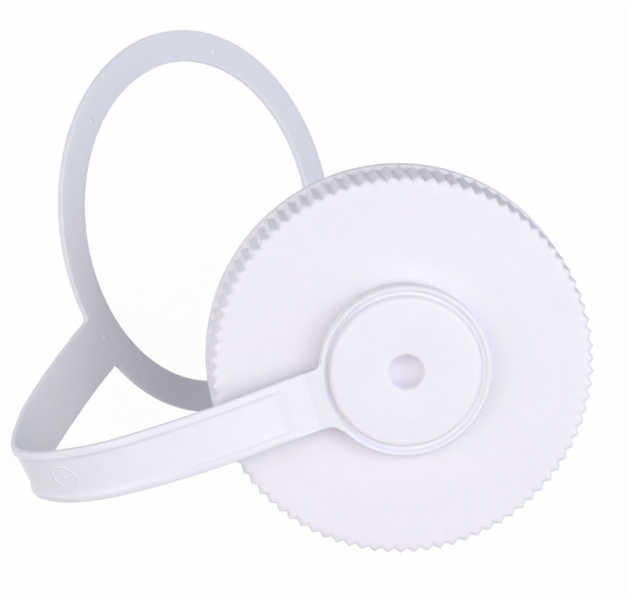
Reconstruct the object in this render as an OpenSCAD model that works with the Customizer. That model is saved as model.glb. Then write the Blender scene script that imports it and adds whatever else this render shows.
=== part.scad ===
// Loop-top screw closure for a wide-mouth bottle: a serrated cap, a strap that
// turns on its crown under a pressed-in button, and a flat loop that stays on
// the bottle's neck. The part stands on its neck loop: the origin is the loop's
// centre on the surface under it, +Z is up, and the strap leaves along +X.
// Each piece is drawn in its own frame and placed by the strap's creases.

/* [Neck loop] */
// Clear width of the loop, which drops over a 63 mm threaded neck
loop_bore_d = 64; // [60:0.5:72]
// Width of the flat band of the loop
loop_band_w = 6.2; // [4.5:0.1:9]
// Thickness of the moulded sheet of the loop and the strap
sheet_t = 1.2; // [0.9:0.1:1.8]
// Radius of the two inner corners where the strap leaves the loop
root_fillet_r = 1.2; // [0.6:0.1:3]

/* [Strap] */
// Width of the strap over its two lips
strap_w = 11; // [9:0.5:13]
// Free length from the loop's outer edge to the centre of the eye
strap_len = 117.3; // [114:0.1:130]
// Width of the flat top of each lip
lip_w = 1.2; // [0.8:0.1:2]
// Depth of the channel between the lips
channel_depth = 0.5; // [0.2:0.05:0.6]
// Run of the sloped side of each lip
lip_slope = 0.3; // [0.1:0.05:0.6]
// Length at each end of the strap that stays full thickness
plain_end = 6; // [3:0.5:8]

/* [Creases] */
// Distance from the eye's centre of the last crease
crease_back = 18.8; // [18:0.1:26]
// Place of each other crease on the way from the loop's outer edge to the last
crease_share = [0.0914, 0.2335, 0.3096, 0.3756, 0.4162, 0.4772, 0.5279, 0.5939, 0.6802, 0.8274]; // [0.05:0.0001:0.9]
// Turn at each crease as the strap rests, towards its smooth face
crease_turn = [7.5, 8.5, 11, 24.5, 35, 18, 9.5, 12.5, 13, 10.5, -12]; // [-20:0.5:45]
// Slant of each crease from square across the strap
crease_slant = [-6, 20, 23, 3, 2, 14, 19, 6, 31, 14, -1]; // [-40:1:40]
// Share by which the strap can still close beyond its rest shape
spare_fold = 0.2; // [0.05:0.05:0.4]

/* [Eye] */
// Diameter over the round bead of the eye that turns on the cap
eye_d = 32.2; // [31:0.2:38]
// How far the eye's outer wall leans out from its bead to its foot
eye_draft = 0.1; // [0.1:0.1:2]
// Width of the round bead around the eye
eye_bead_w = 1.3; // [1.2:0.1:2.4]
// Height of the bead's crown above the strap's lipped face
eye_crown = 0.5; // [0.2:0.1:1]
// Thickness of the flange that the button holds down
eye_flange_t = 1.5; // [1:0.1:2]
// Height of the strap's lipped face above the cap's crown face
strap_rise = 4.4; // [3.8:0.1:6]
// Corner radius where the strap's leading edge meets the eye
eye_fillet_small = 1.5; // [0.8:0.1:3]
// Corner radius where the strap's trailing edge meets the eye
eye_fillet_large = 3; // [1:0.5:9]

/* [Cap] */
// Diameter over the crests of the serrations
cap_d = 70.5; // [68:0.5:80]
// Height from the crown face to the open rim
cap_h = 15; // [13:0.5:20]
// Thickness of the crown
crown_t = 2.4; // [2:0.1:3.5]
// Diameter of the skirt's bore, at the root of its thread
skirt_bore_d = 63.4; // [61:0.2:64.4]
// Number of serrations round the skirt
tooth_count = 90; // [60:1:120]
// Depth of each serration
tooth_depth = 0.85; // [0.5:0.05:1]
// Chamfer round the edge of the crown face
crown_chamfer = 0.8; // [0.2:0.1:1.2]
// Height of the smooth bead round the open rim
rim_bead_h = 2.4; // [1.5:0.1:4]
// How far the rim bead stands outside the serration crests
rim_bead_proud = 0.45; // [0.2:0.05:1]

/* [Thread and seal] */
// Pitch of the thread
thread_pitch = 4.2; // [3:0.1:5]
// Number of turns of the thread
thread_turns = 1.25; // [0.5:0.25:1.5]
// Depth of the thread
thread_depth = 1.2; // [0.8:0.1:1.5]
// Length of the plain land between the rim and the thread's first turn
plain_mouth = 3; // [2:0.1:3.5]
// How far the plain land stands outside the thread's bore
land_step = 0.6; // [0.1:0.1:1.2]
// Radius of the moulded sealing ring under the crown
seal_r = 27; // [24:0.5:28]
// Height of the sealing ring
seal_h = 1.8; // [1:0.1:2.5]

/* [Button] */
// Width of the groove left between the button's rim and the eye's bead
button_gap = 0.7; // [0.15:0.05:0.8]
// Height of the button's face above the eye's crown
button_proud = 0.1; // [-0.5:0.1:1]
// Chamfer round the button's face
button_chamfer = 0.9; // [0.3:0.1:1.2]
// Diameter of the hub that the eye turns on
hub_d = 17.2; // [14:0.2:20]
// Diameter of the blind hole in the button's face
socket_d = 6; // [4:0.1:8]
// Depth of the blind hole
socket_depth = 3.2; // [2:0.1:4]
// Countersink at the mouth of the blind hole
socket_sink = 0.4; // [0.1:0.1:1]
// Diameter of the pins pressed into the cap
pin_d = 3; // [2:0.1:4]
// Length of the pins
pin_len = 1.4; // [0.8:0.1:1.6]
// Number of pins
pin_count = 3; // [3:1:5]
// Radius of the circle that the pins stand on
pin_circle_r = 6; // [4.5:0.1:6.2]

/* [Fits] */
// Radial clearance of the eye on the button's hub
turn_clearance = 0.1; // [0.05:0.01:0.3]
// Axial clearance above and below the eye's flange
float_clearance = 0.1; // [0.05:0.01:0.3]

/* [Hidden] */
creases = len(crease_turn);
loop_r = loop_bore_d / 2 + loop_band_w;
eye_x = loop_r + strap_len;
eye_bead_r = eye_bead_w / 2;
eye_bead_mid_r = eye_d / 2 - eye_bead_r;
eye_well_r = eye_d / 2 - eye_bead_w;
eye_bore_r = hub_d / 2 + turn_clearance;
eye_foot_z = strap_rise - float_clearance;
flange_z = eye_foot_z - eye_flange_t;
button_r = eye_well_r - button_gap;
button_face_z = -eye_crown - button_proud;
button_h = strap_rise - button_face_z;
head_under_h = strap_rise - flange_z + float_clearance;
cap_r = cap_d / 2;
cap_valley_r = cap_r - tooth_depth;
rim_r = cap_r + rim_bead_proud;
bore_r = skirt_bore_d / 2;
land_r = bore_r + land_step;
mouth_chamfer = 0.5;
seal_w = 0.9;
seal_tip_w = 0.4;
thread_crest_w = 1.1;
thread_root_w = 2.5;
thread_bite = 0.3;
thread_step = 10;
thread_fade = 30;
round_fn = 96;
overlap = 0.01;
reach = eye_d;

// Distance of crease i from the loop's centre, along the flat strap
function crease_x(i) = i < len(crease_share) ? loop_r + crease_share[i] * (strap_len - crease_back) : eye_x - crease_back;

// A crease closes about the face that stays outside the bend
function crease_z(i) = crease_turn[i] >= 0 ? 0 : sheet_t;

// Half of the largest turn that the ends of the sections leave room for
function mitre(i) = crease_turn[i] * (1 + spare_fold) / 2;

// Turns what lies beyond crease i up out of the flat sheet
module fold_at(i) {
    translate([crease_x(i), 0, crease_z(i)])
        rotate(a = -crease_turn[i], v = [sin(crease_slant[i]), cos(crease_slant[i]), 0])
            translate([-crease_x(i), 0, -crease_z(i)]) children();
}

// Places a piece of the flat strap beyond its first k creases
module beyond(k) {
    if (k < 1) children();
    else beyond(k - 1) fold_at(k - 1) children();
}

// All the space on one side of crease i: side is 1 for the eye's, -1 for the loop's
module space_beside(i, side) {
    translate([crease_x(i), 0, crease_z(i)])
        rotate([0, 0, -crease_slant[i]])
            rotate([0, side * mitre(i), 0])
                translate([side > 0 ? 0 : -reach, -reach, -reach])
                    cube([reach, 2 * reach, 2 * reach]);
}

// Outline of the strap's cross-section, with its channel in the lipped face
module strap_profile() {
    half_w = strap_w / 2;
    lip_in = half_w - lip_w;
    floor_in = lip_in - lip_slope;
    polygon([[-half_w, 0], [-lip_in, 0], [-floor_in, channel_depth], [floor_in, channel_depth],
             [lip_in, 0], [half_w, 0], [half_w, sheet_t], [-half_w, sheet_t]]);
}

// Straight length of strap from x0 to x1, channelled or plain
module strap_blank(x0, x1) {
    translate([x0, 0, 0]) rotate([90, 0, 90]) linear_extrude(x1 - x0) strap_profile();
}

module plain_blank(x0, x1) {
    translate([x0, -strap_w / 2, 0]) cube([x1 - x0, strap_w, sheet_t]);
}

// Concave corner of radius r between a disc of radius disc_r at the origin and
// the strap's edge, which runs out along +X at y = strap_w / 2
module corner(disc_r, r) {
    cx = sqrt(pow(disc_r + r, 2) - pow(strap_w / 2 + r, 2));
    touch = [cx, strap_w / 2 + r] * disc_r / (disc_r + r);
    linear_extrude(sheet_t)
        difference() {
            polygon([touch, [cx, strap_w / 2], [cx, 0], [touch[0] - r, 0],
                     touch * (1 - r / disc_r / 2)]);
            translate([cx, strap_w / 2 + r]) circle(r = r, $fn = round_fn);
        }
}

module neck_loop() color([0.85, 0.86, 0.92]) {
    difference() {
        union() {
            cylinder(r = loop_r, h = sheet_t, $fn = round_fn);
            intersection() {
                union() {
                    plain_blank(0, loop_r + plain_end);
                    strap_blank(loop_r + plain_end, crease_x(0) + strap_w / 2);
                }
                space_beside(0, -1);
            }
            for (side = [0, 1]) mirror([0, side, 0]) corner(loop_r, root_fillet_r);
        }
        translate([0, 0, -overlap])
            cylinder(d = loop_bore_d, h = sheet_t + 2 * overlap, $fn = round_fn);
    }
}

// Length of strap between crease k and the next one
module strap_section(k) color([0.9, 0.9, 0.95]) beyond(k)
    intersection() {
        strap_blank(crease_x(k - 1) - strap_w / 2, crease_x(k) + strap_w / 2);
        space_beside(k - 1, 1);
        space_beside(k, -1);
    }

// Cross-section of the eye: a round bead on a drafted wall, and a flange inside it
module eye_profile() {
    translate([eye_bead_mid_r, eye_bead_r - eye_crown]) circle(r = eye_bead_r, $fn = round_fn);
    polygon([[eye_well_r, eye_bead_r - eye_crown], [eye_d / 2, eye_bead_r - eye_crown],
             [eye_d / 2 + eye_draft, eye_foot_z], [eye_well_r, eye_foot_z]]);
    translate([eye_bore_r, flange_z])
        square([eye_well_r - eye_bore_r + overlap, eye_flange_t]);
}

module strap_eye() color([0.92, 0.92, 0.96]) beyond(creases) {
    translate([eye_x, 0, 0]) rotate_extrude($fn = round_fn) eye_profile();
    difference() {
        intersection() {
            union() {
                strap_blank(crease_x(creases - 1) - strap_w / 2, eye_x - eye_d / 2 - plain_end);
                plain_blank(eye_x - eye_d / 2 - plain_end, eye_x);
                translate([eye_x, 0, 0]) mirror([1, 0, 0]) {
                    corner(eye_d / 2, eye_fillet_large);
                    mirror([0, 1, 0]) corner(eye_d / 2, eye_fillet_small);
                }
            }
            space_beside(creases - 1, 1);
        }
        translate([eye_x, 0, -1]) cylinder(r = eye_bead_mid_r, h = sheet_t + 2, $fn = round_fn);
    }
}

// Frame of the cap and the button: origin on the crown face, +Z out of it
module on_cap() {
    beyond(creases) translate([eye_x, 0, strap_rise]) rotate([180, 0, 0]) children();
}

// Star outline of the serrated skirt: a crest and a valley for each tooth
module serration_outline() {
    pitch = 360 / tooth_count;
    polygon([for (i = [0 : tooth_count - 1], half = [0, 1])
        (half == 0 ? cap_r : cap_valley_r) * [cos((i + half / 2) * pitch), sin((i + half / 2) * pitch)]]);
}

// Cross-section of the smooth bead round the rim, with its edges rounded
module rim_bead_profile() {
    edge_r = rim_bead_h / 4;
    translate([rim_r - edge_r, -cap_h + edge_r]) circle(r = edge_r, $fn = round_fn);
    translate([rim_r - edge_r, -cap_h + rim_bead_h - edge_r]) circle(r = edge_r, $fn = round_fn);
    translate([bore_r, -cap_h]) square([rim_r - edge_r - bore_r, rim_bead_h]);
    translate([rim_r - 2 * edge_r, -cap_h + edge_r]) square([2 * edge_r, rim_bead_h - 2 * edge_r]);
}

// One ring of points of the thread, at angle a, which fades in and out at its ends
function thread_ring(a, sweep) =
    let (fade = max(0.05, min(1, min(a, sweep - a) / thread_fade)),
         z = -cap_h + plain_mouth + thread_root_w / 2 + a / 360 * thread_pitch,
         tip_r = bore_r - thread_depth * fade,
         root_r = bore_r + thread_bite)
    [for (p = [[root_r, -thread_root_w / 2], [tip_r, -thread_crest_w / 2],
               [tip_r, thread_crest_w / 2], [root_r, thread_root_w / 2]])
        [p[0] * cos(a), p[0] * sin(a), z + p[1]]];

module thread_ridge() {
    sweep = 360 * thread_turns;
    steps = floor(sweep / thread_step);
    points = [for (i = [0 : steps]) each thread_ring(i * sweep / steps, sweep)];
    walls = [for (i = [0 : steps - 1], j = [0 : 3])
        [4 * i + j, 4 * (i + 1) + j, 4 * (i + 1) + (j + 1) % 4, 4 * i + (j + 1) % 4]];
    polyhedron(points = points, faces = concat([[0, 1, 2, 3]], walls,
        [[4 * steps + 3, 4 * steps + 2, 4 * steps + 1, 4 * steps]]), convexity = 6);
}

// Sealing ring: a thin wall under the crown that narrows to its tip
module seal_ring() {
    rotate_extrude($fn = round_fn)
        polygon([[seal_r - seal_w, -crown_t + overlap], [seal_r, -crown_t + overlap],
                 [seal_r, -crown_t - seal_h], [seal_r - seal_tip_w, -crown_t - seal_h]]);
}

module pin_pattern() {
    for (i = [0 : pin_count - 1]) rotate([0, 0, 90 + i * 360 / pin_count])
        translate([pin_circle_r, 0, -pin_len]) cylinder(d = pin_d, h = pin_len, $fn = round_fn);
}

module closure_cap() color([0.95, 0.94, 0.97]) on_cap() {
    difference() {
        union() {
            difference() {
                translate([0, 0, -cap_h + rim_bead_h / 2])
                    linear_extrude(cap_h - rim_bead_h / 2) serration_outline();
                rotate_extrude($fn = round_fn)
                    polygon([[cap_r - crown_chamfer - 1, 1], [cap_r + 2, 1],
                             [cap_r + 2, -crown_chamfer - 2]]);
            }
            rotate_extrude($fn = round_fn) rim_bead_profile();
        }
        translate([0, 0, -cap_h - overlap])
            cylinder(r = bore_r, h = cap_h - crown_t + overlap, $fn = round_fn);
        translate([0, 0, -cap_h - overlap])
            cylinder(r = land_r, h = plain_mouth + overlap, $fn = round_fn);
        translate([0, 0, -cap_h - overlap])
            cylinder(r1 = land_r + mouth_chamfer, r2 = land_r, h = mouth_chamfer, $fn = round_fn);
        pin_pattern();
    }
    seal_ring();
    thread_ridge();
}

module retaining_button() color([0.96, 0.95, 0.98]) on_cap() {
    difference() {
        union() {
            translate([0, 0, head_under_h])
                cylinder(r = button_r, h = button_h - head_under_h - button_chamfer, $fn = round_fn);
            translate([0, 0, button_h - button_chamfer])
                cylinder(r1 = button_r, r2 = button_r - button_chamfer, h = button_chamfer, $fn = round_fn);
            cylinder(d = hub_d, h = button_h - button_chamfer, $fn = round_fn);
        }
        translate([0, 0, button_h - socket_depth])
            cylinder(d = socket_d, h = socket_depth + overlap, $fn = round_fn);
        translate([0, 0, button_h - socket_sink])
            cylinder(d1 = socket_d, d2 = socket_d + 2 * socket_sink, h = socket_sink + overlap, $fn = round_fn);
    }
    pin_pattern();
}

neck_loop();
strap_section(1);  // strap_section_1
strap_section(2);  // strap_section_2
strap_section(3);  // strap_section_3
strap_section(4);  // strap_section_4
strap_section(5);  // strap_section_5
strap_section(6);  // strap_section_6
strap_section(7);  // strap_section_7
strap_section(8);  // strap_section_8
strap_section(9);  // strap_section_9
strap_section(10);  // strap_section_10
strap_eye();
closure_cap();
retaining_button();
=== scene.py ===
import math
import bmesh
import bpy
import numpy as np
from mathutils import Matrix, Vector


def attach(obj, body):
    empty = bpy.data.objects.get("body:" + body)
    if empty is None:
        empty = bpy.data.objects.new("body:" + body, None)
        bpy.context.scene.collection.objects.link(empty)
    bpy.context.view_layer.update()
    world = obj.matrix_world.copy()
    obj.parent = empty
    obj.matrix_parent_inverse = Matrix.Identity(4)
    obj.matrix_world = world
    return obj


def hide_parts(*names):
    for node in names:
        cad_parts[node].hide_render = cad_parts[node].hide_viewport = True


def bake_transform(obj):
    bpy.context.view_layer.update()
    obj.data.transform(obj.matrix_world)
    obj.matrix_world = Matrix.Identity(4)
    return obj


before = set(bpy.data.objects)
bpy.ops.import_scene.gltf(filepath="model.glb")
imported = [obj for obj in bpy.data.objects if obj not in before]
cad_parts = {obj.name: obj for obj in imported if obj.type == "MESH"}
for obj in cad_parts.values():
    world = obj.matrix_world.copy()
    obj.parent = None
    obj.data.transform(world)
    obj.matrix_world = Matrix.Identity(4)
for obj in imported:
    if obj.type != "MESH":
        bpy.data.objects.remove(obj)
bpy.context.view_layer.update()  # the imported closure: bodies, nodes, joints and record

# The camera looks down on the crown from beside the loop, turned so that the
# loop stands upright in the frame.
camera = bpy.data.objects.new("camera", bpy.data.cameras.new("camera"))
bpy.context.scene.collection.objects.link(camera)
camera.matrix_world = Matrix(((-0.48651, -0.63375, 0.60139, 0.39099),
                              (0.47543, -0.76954, -0.42635, -0.25543),
                              (0.73299, 0.07849, 0.67569, 0.45668),
                              (0, 0, 0, 1)))
camera.data.sensor_width = 36
camera.data.lens = 187.31
camera.data.clip_start = 0.01
bpy.context.scene.camera = camera

# ---------------------------------------------------------------------------
# Neck loop: the flat band that stays on a bottle's neck. It is injection
# moulded in polypropylene in one with the strap, whose root runs out of it
# through two small corners, and the mould softens its edges.
# ---------------------------------------------------------------------------

LOOP_R = 38.2  # all lengths are in millimetres until build() scales them
BORE_R = 32.0
SHEET = 1.2
EDGE_R = 0.3
HALF_W = 5.5
ROOT_R = 1.2
STRAP_FROM = LOOP_R + 4.5
MM = 0.001


def build(name, points, faces, material, sharp=40):
    """One mesh object from points in millimetres, the loop lying flat at z 0."""
    mesh = bpy.data.meshes.new(name)
    mesh.from_pydata([tuple(c * MM for c in p) for p in points], [], faces)
    return dress(name, mesh, material, sharp)


def dress(name, mesh, material, sharp=40):
    """Outward normals, smooth shading with crisp edges, and the material."""
    bm = bmesh.new()
    bm.from_mesh(mesh)
    bmesh.ops.recalc_face_normals(bm, faces=bm.faces)
    bm.to_mesh(mesh)
    bm.free()
    mesh.shade_smooth()
    mesh.set_sharp_from_angle(angle=math.radians(sharp))
    mesh.materials.clear()
    mesh.materials.append(material)
    made = bpy.data.objects.new(name, mesh)
    bpy.context.scene.collection.objects.link(made)
    return made


def grid(rows, across, closed_rows=False, closed_across=True):
    """Quads between rows of points, each row having the same count."""
    faces = []
    for i in range(rows if closed_rows else rows - 1):
        for j in range(across if closed_across else across - 1):
            a, b = i * across, ((i + 1) % rows) * across
            k = (j + 1) % across
            faces.append((a + j, a + k, b + k, b + j))
    return faces


def rounded(corner, before, after, radius, steps=4):
    """Points of a rounded corner between the directions to before and after."""
    corner, before, after = (np.array(p, float) for p in (corner, before, after))
    u, v = (before - corner), (after - corner)
    u, v = u / np.linalg.norm(u), v / np.linalg.norm(v)
    a, b = corner + u * radius, corner + v * radius
    return [tuple((1 - t) ** 2 * a + 2 * t * (1 - t) * corner + t * t * b)
            for t in (i / steps for i in range(steps + 1))]


def add(tree, kind, links=(), **values):
    """A node with its settings, its input values and its input links."""
    node = tree.nodes.new(kind)
    for key, value in values.items():
        if key.startswith("in_"):
            node.inputs[int(key[3:])].default_value = value
        else:
            setattr(node, key, value)
    for index, socket in links:
        tree.links.new(socket, node.inputs[index])
    return node


# Moulded polypropylene: a faint cloudiness, the fine grain of the mould and
# the soft scuffs of handling.
moulded = bpy.data.node_groups.new("moulded_surface", "ShaderNodeTree")
for label, kind in (("Colour", "NodeSocketColor"), ("Cloud", "NodeSocketFloat"),
                    ("Gloss", "NodeSocketFloat"), ("Grain", "NodeSocketFloat")):
    moulded.interface.new_socket(label, in_out="INPUT", socket_type=kind)
for label, kind in (("Base", "NodeSocketColor"), ("Rough", "NodeSocketFloat"),
                    ("Bump", "NodeSocketVector")):
    moulded.interface.new_socket(label, in_out="OUTPUT", socket_type=kind)
given = add(moulded, "NodeGroupInput")
place = add(moulded, "ShaderNodeTexCoord").outputs["Object"]
clouds = add(moulded, "ShaderNodeTexNoise", [(0, place)], in_2=70, in_3=3.0)
flow = add(moulded, "ShaderNodeTexNoise", [(0, place)], in_2=420, in_3=4.0)
grain = add(moulded, "ShaderNodeTexNoise", [(0, place)], in_2=2600, in_3=2.0)
scuffs = add(moulded, "ShaderNodeTexNoise", [(0, place)], in_2=900, in_3=6.0)
lift = add(moulded, "ShaderNodeMapRange", [(0, clouds.outputs[0])],
           in_1=0.3, in_2=0.7, in_3=-1.0, in_4=1.0)
shift = add(moulded, "ShaderNodeMath", [(0, lift.outputs[0]), (1, given.outputs["Cloud"])],
            operation="MULTIPLY")
fine = add(moulded, "ShaderNodeMapRange", [(0, flow.outputs[0])],
           in_1=0.35, in_2=0.65, in_3=0.992, in_4=1.008)
level = add(moulded, "ShaderNodeMath", [(0, shift.outputs[0]), (1, fine.outputs[0])],
            operation="ADD")
tint = add(moulded, "ShaderNodeVectorMath", [(0, given.outputs["Colour"]), (3, level.outputs[0])],
           operation="SCALE")
rub = add(moulded, "ShaderNodeMapRange", [(0, scuffs.outputs[0])],
          in_1=0.45, in_2=0.75, in_3=0.0, in_4=0.16)
rough = add(moulded, "ShaderNodeMath", [(0, given.outputs["Gloss"]), (1, rub.outputs[0])],
            operation="ADD")
skin = add(moulded, "ShaderNodeMath", [(0, grain.outputs[0]), (1, flow.outputs[0])],
           operation="ADD")
bump = add(moulded, "ShaderNodeBump", [(0, given.outputs["Grain"]), (2, skin.outputs[0])],
           in_1=0.0002)
add(moulded, "NodeGroupOutput",
    [(0, tint.outputs[0]), (1, rough.outputs[0]), (2, bump.outputs[0])])


def plastic(name, colour, cloud, gloss, grain, depth):
    """A moulded plastic; depth is how far light goes into it, in metres."""
    material = bpy.data.materials.new(name)
    material.use_nodes = True
    tree = material.node_tree
    shader = tree.nodes["Principled BSDF"]
    surface = add(tree, "ShaderNodeGroup", node_tree=moulded)
    surface.inputs["Colour"].default_value = (*colour, 1)
    surface.inputs["Cloud"].default_value = cloud
    surface.inputs["Gloss"].default_value = gloss
    surface.inputs["Grain"].default_value = grain
    tree.links.new(surface.outputs["Base"], shader.inputs["Base Color"])
    tree.links.new(surface.outputs["Rough"], shader.inputs["Roughness"])
    tree.links.new(surface.outputs["Bump"], shader.inputs["Normal"])
    shader.inputs["IOR"].default_value = 1.49
    shader.inputs["Subsurface Weight"].default_value = 0.2
    shader.inputs["Subsurface Radius"].default_value = (1.0, 0.95, 1.05)
    shader.inputs["Subsurface Scale"].default_value = depth
    return material


strap_plastic = plastic("strap_polypropylene", (0.85, 0.845, 0.935), 0.010, 0.34, 0.08, 0.0006)
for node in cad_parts.values():
    node.data.materials.clear()
    node.data.materials.append(strap_plastic)

# The band's outer edge, from the strap's root round to its other side. Each
# point has the direction in which its edge is softened.
centre_x = math.sqrt((LOOP_R + ROOT_R) ** 2 - (HALF_W + ROOT_R) ** 2)
touch = math.atan2(HALF_W + ROOT_R, centre_x)
edge = [((STRAP_FROM, HALF_W * s / 5), (0, 0)) for s in range(5)]
edge += [((STRAP_FROM - (STRAP_FROM - centre_x) * s / 6, HALF_W), (0, -1)) for s in range(6)]
for s in range(9):
    a = math.radians(-90) - s / 8 * (math.radians(90) - touch)
    edge.append(((centre_x + ROOT_R * math.cos(a), HALF_W + ROOT_R * (1 + math.sin(a))),
                 (math.cos(a), math.sin(a))))
for s in range(1, 121):
    a = touch + (math.pi - touch) * s / 120
    edge.append(((LOOP_R * math.cos(a), LOOP_R * math.sin(a)), (-math.cos(a), -math.sin(a))))
edge += [((x, -y), (u, -v)) for (x, y), (u, v) in reversed(edge[1:-1])]

# The band's section: share of the way out from the bore, inset and height.
softened = rounded((0, 0), (1, 0), (0, 1), EDGE_R)
rim = [(1, inset, z) for inset, z in softened]
rim += [(1, inset, SHEET - z) for inset, z in reversed(softened)]
rim += [(0.75, 0, SHEET), (0.5, 0, SHEET), (0.25, 0, SHEET)]
rim += [(0, inset, SHEET - z) for inset, z in softened]
rim += [(0, inset, z) for inset, z in reversed(softened)]
rim += [(0.25, 0, 0), (0.5, 0, 0), (0.75, 0, 0)]
points = []
for (x, y), (u, v) in edge:
    a = math.atan2(y, x)
    inner = (BORE_R * math.cos(a), BORE_R * math.sin(a))
    for share, inset, z in rim:
        if share == 1:
            points.append((x + u * inset, y + v * inset, z))
        elif share == 0:
            points.append((inner[0] + inset * math.cos(a), inner[1] + inset * math.sin(a), z))
        else:
            points.append((inner[0] + (x - inner[0]) * share,
                           inner[1] + (y - inner[1]) * share, z))
loop = build("loop_band", points, grid(len(edge), len(rim), closed_rows=True),
             strap_plastic)
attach(loop, "neck_loop")
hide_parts("neck_loop")

# ---------------------------------------------------------------------------
# Ejector marks: four low round marks on the loop's smooth face. They are part
# of the polypropylene moulding, left where pins pushed it out of its mould.
# ---------------------------------------------------------------------------

MARK_SPOTS = ((36.7, -0.4), (10.5, -32.8), (-26.3, -22.6), (4.0, 34.8))
MARK_TOP = 0.12
MARK_SIDE = ((0.4, 0.11), (0.65, 0.06), (0.8, -0.05))
MARK_SIDES = 24
for number, (x, y) in enumerate(MARK_SPOTS, 1):
    points = []
    for r, h in MARK_SIDE:
        for a in range(MARK_SIDES):
            turn = 2 * math.pi * a / MARK_SIDES
            points.append((x + r * math.cos(turn), y + r * math.sin(turn), SHEET + h))
    middle = len(points)
    points.append((x, y, SHEET + MARK_TOP))
    faces = grid(len(MARK_SIDE), MARK_SIDES)
    faces += [(a, (a + 1) % MARK_SIDES, middle) for a in range(MARK_SIDES)]
    mark = build(f"ejector_mark_{number}", points, faces, strap_plastic)
    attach(mark, "neck_loop")

# ---------------------------------------------------------------------------
# Strap: a lipped ribbon of polypropylene, moulded in one with the loop and the
# eye. It bends smoothly across each crease, from mid section to mid section,
# so it is made as one bend for each crease, joined edge to edge.
# ---------------------------------------------------------------------------

EYE_X = LOOP_R + 117.3
STRAP_TO = LOOP_R + 99.5
# Distance from the loop's outer edge, turn and slant of each crease.
CREASES = ((9.003, 7.5, -6), (23, 8.5, 20), (30.496, 11, 23), (36.997, 24.5, 3),
           (40.996, 35, 2), (47.004, 18, 14), (51.998, 9.5, 19), (58.499, 12.5, 6),
           (67, 13, 31), (81.499, 10.5, 14), (98.5, -12, -1))

section = [Matrix.Identity(4)]
for at, turn, slant in CREASES:
    pivot = Vector((LOOP_R + at, 0, 0 if turn >= 0 else SHEET))
    line = Vector((math.sin(math.radians(slant)), math.cos(math.radians(slant)), 0))
    section.append(section[-1] @ Matrix.Translation(pivot)
                   @ Matrix.Rotation(-math.radians(turn), 4, line) @ Matrix.Translation(-pivot))


def crease_x(i, y):
    """Where crease i crosses the strap at y."""
    at, _, slant = CREASES[i]
    return LOOP_R + at + y * math.tan(math.radians(slant))


def middle_x(k, y):
    """Where section k's mid line crosses the strap at y."""
    if k == 0:
        return STRAP_FROM
    if k == len(CREASES):
        return STRAP_TO
    return (crease_x(k - 1, y) + crease_x(k, y)) / 2


def bent(i, t, y, z):
    """Point of the strap at share t of the way across crease i."""
    _, turn, slant = CREASES[i]
    short = ((z - (0 if turn >= 0 else SHEET)) * math.tan(math.radians(turn / 2))
             / math.cos(math.radians(slant)))
    start = section[i] @ Vector((middle_x(i, y), y, z))
    end = section[i + 1] @ Vector((middle_x(i + 1, y), y, z))
    corner = (section[i] @ Vector((crease_x(i, y) - short, y, z))
              + section[i + 1] @ Vector((crease_x(i, y) + short, y, z))) / 2
    return (1 - t) ** 2 * start + 2 * t * (1 - t) * corner + t * t * end


# The cross-section has a rounded lip along each edge of its outer face, with a
# channel between them, and a smooth face behind. Where the channel runs out
# the lips sink into the plain sheet.
CHANNEL = 0.42
BACK_EDGE = 0.22
LIP = ((0.0, 0.46), (0.05, 0.31), (0.16, 0.2), (0.35, 0.12), (0.65, 0.05), (0.95, 0.01),
       (1.2, 0.0), (1.38, 0.03), (1.52, 0.12), (1.66, 0.25), (1.82, 0.36), (2.0, 0.42))
PLAIN = ((0.0, 0.22), (0.02, 0.13), (0.06, 0.06), (0.13, 0.02), (0.22, 0.0), (0.5, 0.0),
         (0.9, 0.0), (1.2, 0.0), (1.5, 0.0), (1.66, 0.0), (1.82, 0.0), (2.0, 0.0))


def strap_outline(low, high, depth):
    """(y, z) round the section; low and high are its edges, depth its channel's."""
    full = depth / CHANNEL
    left = [(low + a + (b - a) * full, c + (d - c) * full)
            for (a, c), (b, d) in zip(PLAIN, LIP)]
    right = [(low + high - y, z) for y, z in reversed(left)]
    inner = (left[-1][0], right[0][0])
    floor = [(inner[0] + (inner[1] - inner[0]) * s / 6, depth) for s in range(1, 6)]
    back = rounded((high, SHEET), (high, 0), (low, SHEET), BACK_EDGE)
    back += [(high + (low - high) * s / 8, SHEET) for s in range(1, 8)]
    back += rounded((low, SHEET), (high, SHEET), (low, 0), BACK_EDGE)
    return left + floor + right + back


def ease(s):
    """A smooth step from 0 to 1."""
    s = max(0.0, min(1.0, s))
    return s ** 2 * (3 - 2 * s)


def channel_at(x):
    """The channel runs out into plain sheet towards the loop and the eye."""
    return CHANNEL * ease((x - LOOP_R - 4.6) / 1.6) * ease((EYE_X - 21.9 - x) / 3.0)


def follow(piece, i):
    """Bake a piece's placement into its mesh, and give the name of the part past crease i."""
    upper = f"strap_section_{i + 1}" if i < len(CREASES) - 1 else "strap_eye"
    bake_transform(piece)
    return upper


BEND_STEPS = 24
for i in range(len(CREASES)):
    points = []
    for s in range(BEND_STEPS + 1):
        t = s / BEND_STEPS
        x = ((1 - t) ** 2 * middle_x(i, 0) + 2 * t * (1 - t) * crease_x(i, 0)
             + t * t * middle_x(i + 1, 0))
        outline = strap_outline(-HALF_W, HALF_W, channel_at(x))
        points += [bent(i, t, y, z) for y, z in outline]
    bend = build(f"strap_bend_{i + 1}", points, grid(BEND_STEPS + 1, len(outline)),
                 strap_plastic, 60)
    upper = follow(bend, i)
    if upper != "strap_eye":
        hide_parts(upper)

# ---------------------------------------------------------------------------
# Date stamp: a small ring and dot on the floor of the strap's channel. The
# mould's round insert leaves them standing in the polypropylene.
# ---------------------------------------------------------------------------

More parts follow.
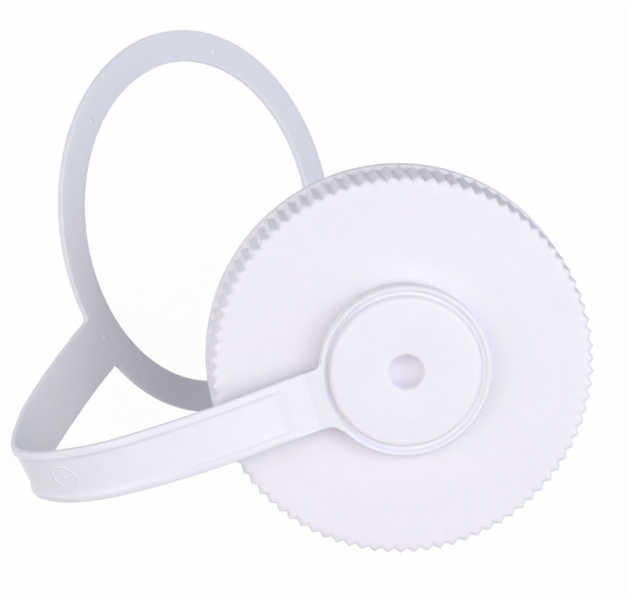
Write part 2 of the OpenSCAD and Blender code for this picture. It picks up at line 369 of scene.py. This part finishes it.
STAMP_BEND = 6
STAMP_T = 0.21
STAMP_SIDES = 48
STAMP_RING = ((1.95, 0.02), (2.1, -0.1), (2.25, -0.15), (2.4, -0.1), (2.55, 0.02))
STAMP_DOT = ((0.5, 0.02), (0.42, -0.1), (0.25, -0.15))
step = 0.1
span = (bent(STAMP_BEND, STAMP_T + step, 0, CHANNEL) - bent(STAMP_BEND, STAMP_T, 0, CHANNEL)).length
for name, profile in (("stamp_ring", STAMP_RING), ("stamp_dot", STAMP_DOT)):
    points = []
    for s in range(STAMP_SIDES):
        a = 2 * math.pi * s / STAMP_SIDES
        for r, h in profile:
            along = STAMP_T + r * math.cos(a) * step / span
            points.append(bent(STAMP_BEND, along, r * math.sin(a), CHANNEL + h))
    count = len(profile)
    faces = grid(STAMP_SIDES, count, closed_rows=True, closed_across=False)
    if name == "stamp_dot":
        faces.append(tuple(range(count - 1, STAMP_SIDES * count, count)))
    stamp = build(name, points, faces, strap_plastic, 60)
    follow(stamp, STAMP_BEND)

# ---------------------------------------------------------------------------
# Eye: the round end of the strap, moulded in one with it. It is a flange under
# the button with a wall and a rounded bead round it, and it turns on the
# button's hub. The groove inside the bead is deepest where the strap pulls.
# ---------------------------------------------------------------------------

RISE = 4.4
EYE_SIDES = 180
CREST_R, CREST_H = 15.42, 4.45
HUB_HOLE_R = 8.7
FLANGE_H = 0.1, 1.6
GROOVE_R = 14.105
GROOVE_H, GROOVE_DIP = 3.68, 0.32
# The groove's wall: radius, and share of the way from its floor to the crest.
GROOVE = ((GROOVE_R, 0), (14.3, -0.02), (14.52, 0.02), (14.7, 0.13), (14.84, 0.33),
          (14.96, 0.58), (15.08, 0.79), (15.24, 0.94))
BEAD = [(CREST_R, CREST_H), (15.6, 4.41), (15.76, 4.28), (15.88, 4.06), (15.96, 3.75),
        (16.0, 3.35), (15.99, 2.9), (15.95, 2.4), (15.88, 1.8), (15.8, 1.2), (15.74, 0.6),
        (15.7, 0.1)]
swivel = (section[-1] @ Matrix.Translation((EYE_X, 0, RISE))
          @ Matrix.Rotation(math.pi, 4, "X"))


def turned(name, rows, material, body, sharp, closed=True):
    """A round piece about the cap's axis, from a (radius, height) row for each angle."""
    points = []
    for s, row in enumerate(rows):
        a = 2 * math.pi * s / len(rows)
        points += [swivel @ Vector((r * math.cos(a), r * math.sin(a), z)) for r, z in row]
    faces = grid(len(rows), len(rows[0]), closed_rows=True, closed_across=closed)
    made = build(name, points, faces, material, sharp)
    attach(made, body)
    return made


rows = []
for a in range(EYE_SIDES):
    low = GROOVE_H + GROOVE_DIP * math.cos(2 * math.pi * a / EYE_SIDES)
    groove = [(r, low + (CREST_H - low) * h) for r, h in GROOVE]
    flange = [(HUB_HOLE_R, FLANGE_H[0]), (HUB_HOLE_R, FLANGE_H[1]), (GROOVE_R, FLANGE_H[1])]
    rows.append(flange + groove + BEAD)
eye = turned("eye_ring", rows, strap_plastic, "strap_eye", 50)
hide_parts("strap_eye")

# ---------------------------------------------------------------------------
# Eye root: the last stretch of the polypropylene strap. It widens into the eye
# through a tight corner and a wider one, and its outer face rises to the
# bead's crest so that the two run together.
# ---------------------------------------------------------------------------

BEAD_R = 16.0
ROOT_CORNERS = (1.5, 3.0)
ROOT_STEPS = 28
ROOT_END = 13.6
# Near the eye the root stays inside this radius, so that it ends in the bead.
ROOT_CLIP = 15.85
NEAR_EYE = 14
NO_LIMIT = 99
LIFT, LIFT_OVER = 0.05, 2.8
points = []
for s in range(ROOT_STEPS + 1):
    d = (EYE_X - STRAP_TO) * (1 - s / ROOT_STEPS) + ROOT_END * s / ROOT_STEPS
    limit = math.sqrt(max(0.0, ROOT_CLIP ** 2 - d * d)) if d < NEAR_EYE else NO_LIMIT
    reach = []
    for r in ROOT_CORNERS:
        c = math.sqrt((BEAD_R + r) ** 2 - (HALF_W + r) ** 2)
        past = max(0, min(c - d, c * r / (BEAD_R + r)))
        reach.append(min(HALF_W + r - math.sqrt(r * r - past * past), limit))
    outline = strap_outline(-reach[0], reach[1], 0)
    for y, z in outline:
        lift = LIFT * (1 - ease((math.hypot(d, y) - CREST_R) / LIFT_OVER)) * (1 - z / SHEET)
        along = max(d, math.sqrt(max(0.0, CREST_R ** 2 - y * y)))
        points.append(section[-1] @ Vector((EYE_X - along, y, z - lift)))
root = build("eye_root", points, grid(ROOT_STEPS + 1, len(outline)), strap_plastic, 60)
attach(root, "strap_eye")

# ---------------------------------------------------------------------------
# Cap: the screw closure, a separate polypropylene moulding with ninety
# serrations, a rim bead, a bore and a sealing ring. One tooth's sector of its
# shell is repeated round the axis, and the button is pressed into its crown.
# ---------------------------------------------------------------------------

TEETH = 90
CAP_R = 35.4
TOOTH = 0.85
CAP_H = 15.0
CROWN_T = 2.4
CENTRE_R = 20.0  # the crown's flat middle, closed by one face
cap_plastic = plastic("cap_polypropylene", (0.87, 0.845, 0.935), 0.006, 0.36, 0.10, 0.0008)

# Half a tooth: share of the way from its crest to the root, and share of its depth.
SHARE = (0, 0.07, 0.2, 0.4, 0.6, 0.8, 0.93, 1)
DROP = (0.03, 0.08, 0.2, 0.4, 0.6, 0.8, 0.92, 0.96)
across = [(-s, d) for s, d in zip(SHARE[:0:-1], DROP[:0:-1])] + list(zip(SHARE, DROP))
CROWN = [(CENTRE_R, 0.12), (26.3, 0.12), (26.7, 0.1), (27.2, 0.06), (27.7, 0.02),
         (28.1, 0.0), (32.4, 0.0)]
# The serrated flank, as insets from the tooth's crest.
FLANK = [(-1.35, 0.0), (-0.95, -0.05), (-0.6, -0.15), (-0.3, -0.3), (-0.1, -0.48),
         (0, -0.75), (0, -CAP_H + 2.6)]
RIM = [(35.4, -CAP_H + 2.42), (35.6, -CAP_H + 2.3), (35.7, -CAP_H + 2.0),
       (35.7, -CAP_H + 0.5), (35.58, -CAP_H + 0.15), (35.3, -CAP_H), (33.0, -CAP_H),
       (32.75, -CAP_H + 0.06), (32.4, -CAP_H + 0.5), (32.3, -CAP_H + 0.7)]
BORE = [(32.3, -12.2), (31.7, -11.9), (31.7, -2.9), (31.55, -2.55), (31.2, -CROWN_T)]
SEAL = [(27.2, -CROWN_T), (27.02, -2.5), (27.0, -4.1), (26.9, -4.2), (26.65, -4.2),
        (26.58, -4.1), (26.12, -2.5), (25.9, -CROWN_T), (CENTRE_R, -CROWN_T)]
points = []
for side, depth in across:
    a = math.pi / TEETH * side
    crest = CAP_R - TOOTH * depth
    column = CROWN + [(crest + inset, z) for inset, z in FLANK] + RIM + BORE + SEAL
    points += [(r * math.cos(a), r * math.sin(a), z) for r, z in column]
sector = bpy.data.meshes.new("tooth_sector")
sector.from_pydata(points, [], grid(len(across), len(column), closed_across=False))

# Geometry nodes that set copies of a sector side by side round the axis.
ring = bpy.data.node_groups.new("ring_of_sectors", "GeometryNodeTree")
for label, kind in (("Sector", "NodeSocketGeometry"), ("Count", "NodeSocketInt"),
                    ("Angle", "NodeSocketFloat"), ("Material", "NodeSocketMaterial")):
    ring.interface.new_socket(label, in_out="INPUT", socket_type=kind)
ring.interface.new_socket("Ring", in_out="OUTPUT", socket_type="NodeSocketGeometry")
given = add(ring, "NodeGroupInput")
spots = add(ring, "GeometryNodeMeshLine", [(0, given.outputs["Count"])])
spots.inputs["Offset"].default_value = (0, 0, 0)
number = add(ring, "GeometryNodeInputIndex")
angle = add(ring, "ShaderNodeMath", [(0, number.outputs[0]), (1, given.outputs["Angle"])],
            operation="MULTIPLY")
spin = add(ring, "ShaderNodeCombineXYZ", [(2, angle.outputs[0])])
copies = add(ring, "GeometryNodeInstanceOnPoints")
ring.links.new(spots.outputs[0], copies.inputs["Points"])
ring.links.new(given.outputs["Sector"], copies.inputs["Instance"])
ring.links.new(spin.outputs[0], copies.inputs["Rotation"])
real = add(ring, "GeometryNodeRealizeInstances", [(0, copies.outputs[0])])
merged = add(ring, "GeometryNodeMergeByDistance", [(0, real.outputs[0])])
merged.inputs["Distance"].default_value = 0.002
coat = add(ring, "GeometryNodeSetMaterial", [(0, merged.outputs[0])])
ring.links.new(given.outputs["Material"], coat.inputs["Material"])
add(ring, "NodeGroupOutput", [(0, coat.outputs[0])])


def repeated(name, mesh, count, angle, material):
    """The mesh that the ring of sectors makes of one sector."""
    holder = bpy.data.objects.new(name, mesh)
    bpy.context.scene.collection.objects.link(holder)
    modifier = holder.modifiers.new("ring", "NODES")
    modifier.node_group = ring
    values = {"Count": count, "Angle": angle, "Material": material}
    for item in ring.interface.items_tree:
        if item.name in values:
            modifier[item.identifier] = values[item.name]
    bpy.context.view_layer.update()
    depsgraph = bpy.context.evaluated_depsgraph_get()
    made = bpy.data.meshes.new_from_object(holder.evaluated_get(depsgraph))
    bpy.data.objects.remove(holder)
    return made


shell = repeated("cap_shell", sector, TEETH, 2 * math.pi / TEETH, cap_plastic)
# The faces that close the crown's middle, outside and in.
bm = bmesh.new()
bm.from_mesh(shell)
bmesh.ops.holes_fill(bm, edges=[e for e in bm.edges if e.is_boundary], sides=0)
bm.to_mesh(shell)
bm.free()
shell.transform(swivel)
shell.transform(Matrix.Scale(MM, 4))
cap = dress("cap_shell", shell, cap_plastic, 38)
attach(cap, "closure")
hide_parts("closure_cap")

# ---------------------------------------------------------------------------
# Thread: the ridge that screws onto the bottle's neck, moulded in the cap's
# polypropylene. It winds up the bore and fades out at both ends.
# ---------------------------------------------------------------------------

WINDS = 150
TURNS = 1.25
PITCH = 4.2
PLAIN_MOUTH = 3
THREAD_HALF = 1.25
THREAD_R = 31.7
THREAD_DEPTH = 1.2
points = []
for s in range(WINDS + 1):
    a = 2 * math.pi * TURNS * s / WINDS
    fade = max(0.05, min(1, min(s, WINDS - s) / WINDS * 15))
    z = -CAP_H + PLAIN_MOUTH + THREAD_HALF + PITCH * TURNS * s / WINDS
    flank = 31.72 - 1.0 * fade
    crest = THREAD_R - THREAD_DEPTH * fade
    for r, h in ((32.0, -THREAD_HALF), (flank, -0.66), (crest, -0.42),
                 (crest, 0.42), (flank, 0.66), (32.0, THREAD_HALF)):
        points.append(swivel @ Vector((r * math.cos(a), r * math.sin(a), z + h)))
ends = [tuple(range(6)), tuple(range(WINDS * 6, WINDS * 6 + 6))]
thread = build("thread_ridge", points, grid(WINDS + 1, 6) + ends, cap_plastic)
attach(thread, "closure")

# ---------------------------------------------------------------------------
# Button: a separate polypropylene moulding pressed into the crown, with a flat
# head over the eye and a blind round socket. The eye turns on its hub.
# ---------------------------------------------------------------------------

HEAD_R = 14.1
HEAD_H = 5.0
HUB_R = 8.6
UNDER_H = 1.7
# The head's rounded edge and the socket: radius or inset, and depth.
ROUNDING = ((0, 1.3), (0.03, 0.95), (0.12, 0.62), (0.28, 0.34), (0.5, 0.15), (0.78, 0.04),
            (1.1, 0))
SOCKET = ((3.75, 0), (3.5, 0.05), (3.3, 0.17), (3.14, 0.4), (3.04, 0.75), (2.98, 1.3),
          (2.9, 1.9), (2.78, 2.5), (2.58, 3.05), (2.28, 3.55), (1.85, 4.0), (1.3, 4.35),
          (0.65, 4.58), (0.02, 4.65))
profile = [(HUB_R, 0.0), (HUB_R, UNDER_H), (HEAD_R - 0.1, UNDER_H), (HEAD_R, UNDER_H + 0.1)]
profile += [(HEAD_R - inset, HEAD_H - depth) for inset, depth in ROUNDING]
profile += [(9, HEAD_H)]
profile += [(r, HEAD_H - depth) for r, depth in SOCKET]
# The button's plastic is a touch lighter than the cap's: painted light, standing in for the
# brighter light on the head's face.
button_plastic_painted_lighter = plastic("button_polypropylene_painted_lighter", (0.88, 0.857, 0.945), 0.006, 0.32, 0.06, 0.0008)
button = turned("button_head", [profile] * EYE_SIDES, button_plastic_painted_lighter, "closure", 50, closed=False)
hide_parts("retaining_button")

# ---------------------------------------------------------------------------
# Setting: a pale matt floor under the loop, a dim even room and soft lamps.
# Both floor and room show plain white to the camera and in reflections.
# ---------------------------------------------------------------------------

def plainly_seen(tree):
    """1 for camera, glossy and transmission rays, 0 for the light on the object."""
    path = add(tree, "ShaderNodeLightPath").outputs
    seen = add(tree, "ShaderNodeMath", [(0, path["Is Camera Ray"]), (1, path["Is Glossy Ray"])],
               operation="MAXIMUM")
    return add(tree, "ShaderNodeMath", [(0, seen.outputs[0]), (1, path["Is Transmission Ray"])],
               operation="MAXIMUM").outputs[0]


bpy.ops.mesh.primitive_plane_add(size=6, location=(0, 0, -0.0002))
floor = bpy.context.object
floor.name = "floor"
paper = bpy.data.materials.new("floor_paper")
paper.use_nodes = True
tree = paper.node_tree
matt = tree.nodes["Principled BSDF"]
matt.inputs["Base Color"].default_value = (0.9, 0.9, 0.9, 1)
matt.inputs["Roughness"].default_value = 0.9
glow = add(tree, "ShaderNodeEmission", in_0=(1, 1, 1, 1), in_1=1.0)
# A little of the matt floor is left, so that it keeps the object's shadow.
seen = add(tree, "ShaderNodeMath", [(0, plainly_seen(tree))], operation="MULTIPLY", in_1=0.97)
both = add(tree, "ShaderNodeMixShader",
           [(0, seen.outputs[0]), (1, matt.outputs[0]), (2, glow.outputs[0])])
tree.links.new(both.outputs[0], tree.nodes["Material Output"].inputs[0])
floor.data.materials.append(paper)

world = bpy.data.worlds.new("room")
bpy.context.scene.world = world
world.use_nodes = True
tree = world.node_tree
room = tree.nodes["Background"]
room.inputs[0].default_value = (1, 1, 1, 1)
room.inputs[1].default_value = 0.12
white = add(tree, "ShaderNodeBackground", in_0=(1, 1, 1, 1), in_1=1.0)
both = add(tree, "ShaderNodeMixShader",
           [(0, plainly_seen(tree)), (1, room.outputs[0]), (2, white.outputs[0])])
tree.links.new(both.outputs[0], tree.nodes["World Output"].inputs[0])

LAMP_SIZE = 1.0
LAMP_AIM = Vector((0.03, 0.01, 0.04))
LAMPS = (("high", (0.336, -0.134, 1.086), 3.72, (1.0, 0.937, 0.998)),
         ("front", (0.167, -0.511, 0.999), 1.52, (0.832, 1.0, 0.922)),
         ("low", (0.870, -0.658, 0.281), 5.22, (1.0, 0.948, 0.857)),
         ("behind", (-0.102, 0.229, 1.110), 3.89, (0.654, 0.833, 1.0)),
         ("side", (0.261, 0.535, 0.979), 2.06, (1.0, 0.747, 0.619)))
for name, spot, power, colour in LAMPS:
    light = bpy.data.lights.new(name, "AREA")
    light.shape, light.size, light.energy, light.color = "DISK", LAMP_SIZE, power, colour
    lamp = bpy.data.objects.new(name, light)
    bpy.context.scene.collection.objects.link(lamp)
    lamp.location = spot
    lamp.rotation_euler = (Vector(spot) - LAMP_AIM).to_track_quat("Z", "Y").to_euler()

bpy.context.scene.view_settings.view_transform = "Standard"
